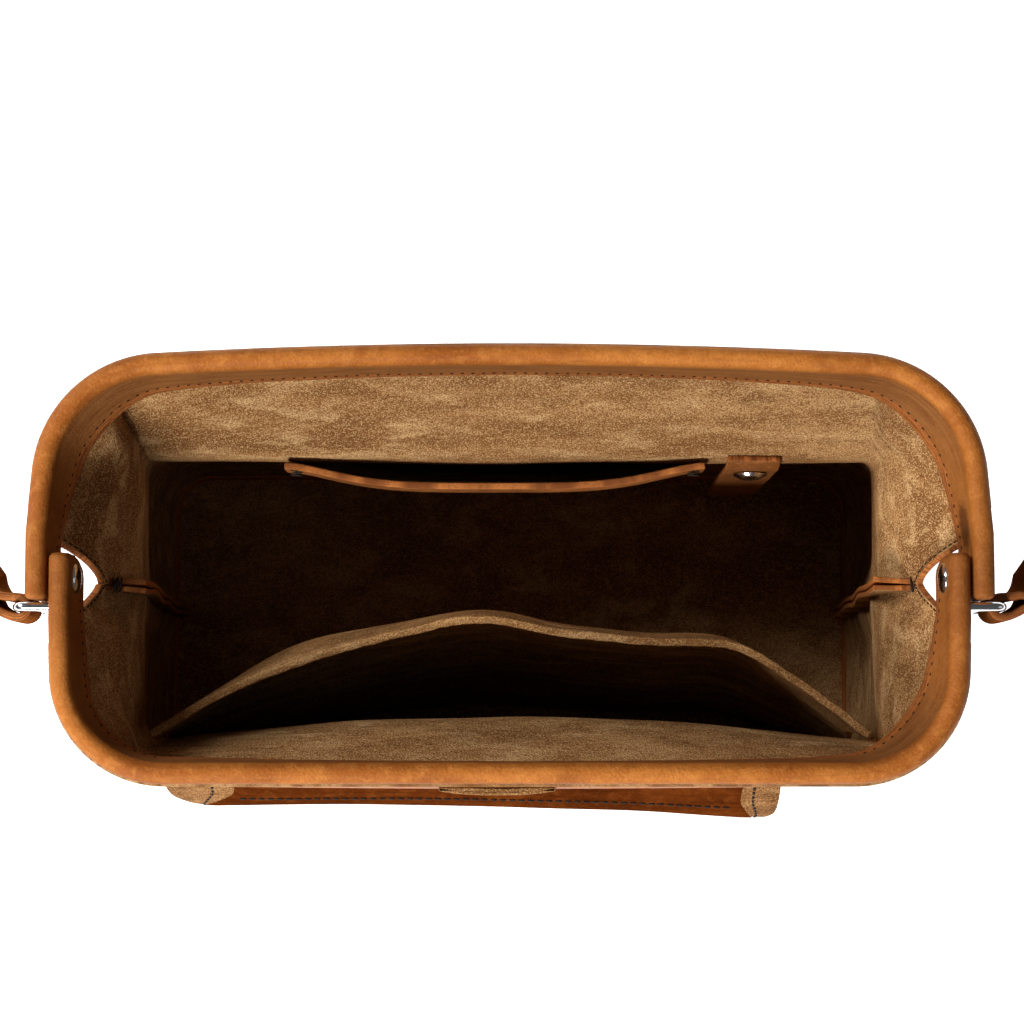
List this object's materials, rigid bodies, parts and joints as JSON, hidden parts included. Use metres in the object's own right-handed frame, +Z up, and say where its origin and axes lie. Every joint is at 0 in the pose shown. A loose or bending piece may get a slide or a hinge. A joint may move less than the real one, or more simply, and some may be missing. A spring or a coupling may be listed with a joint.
{
  "type": "frame-top leather handbag",
  "caption": "Open frame-top leather handbag with hinged wrapped rim halves, inner and outer pockets, a hanging key strip and a shoulder strap on metal loops.",
  "frame": {"origin": "middle of the flat underside of the base", "axes": "+X to the bag's right, +Y to its back, +Z up"},
  "size_m": [0.4576, 0.3342, 0.2091],
  "materials": {
    "tan_leather": "tan vegetable-tanned grain, satin",
    "body_leather": "tan grain outside, brushed suede inside",
    "rim_leather": "tan grain stretched over the bead, satin",
    "strap_leather": "brown grain with raw cut edges",
    "dark_leather": "dark reddish-brown grain, stitched",
    "suede": "mottled brown suede",
    "polished_metal": "polished nickel"
  },
  "bodies": {
    "root": {"base": "tan_leather", "body_front": "body_leather", "body_back": "body_leather", "rim_front": "rim_leather", "rim_back": "rim_leather", "hinge_rivet_left": "polished_metal", "hinge_rivet_right": "polished_metal", "strap_loop_left": "polished_metal", "strap_loop_right": "polished_metal", "strap": "strap_leather", "pocket_outer": "dark_leather", "pocket_flap": "dark_leather", "front_tab": "tan_leather", "pocket_inner_front": "suede", "pocket_inner_back": "suede", "key_strap": "tan_leather", "key_snap": "polished_metal"}
  },
  "joints": []
}
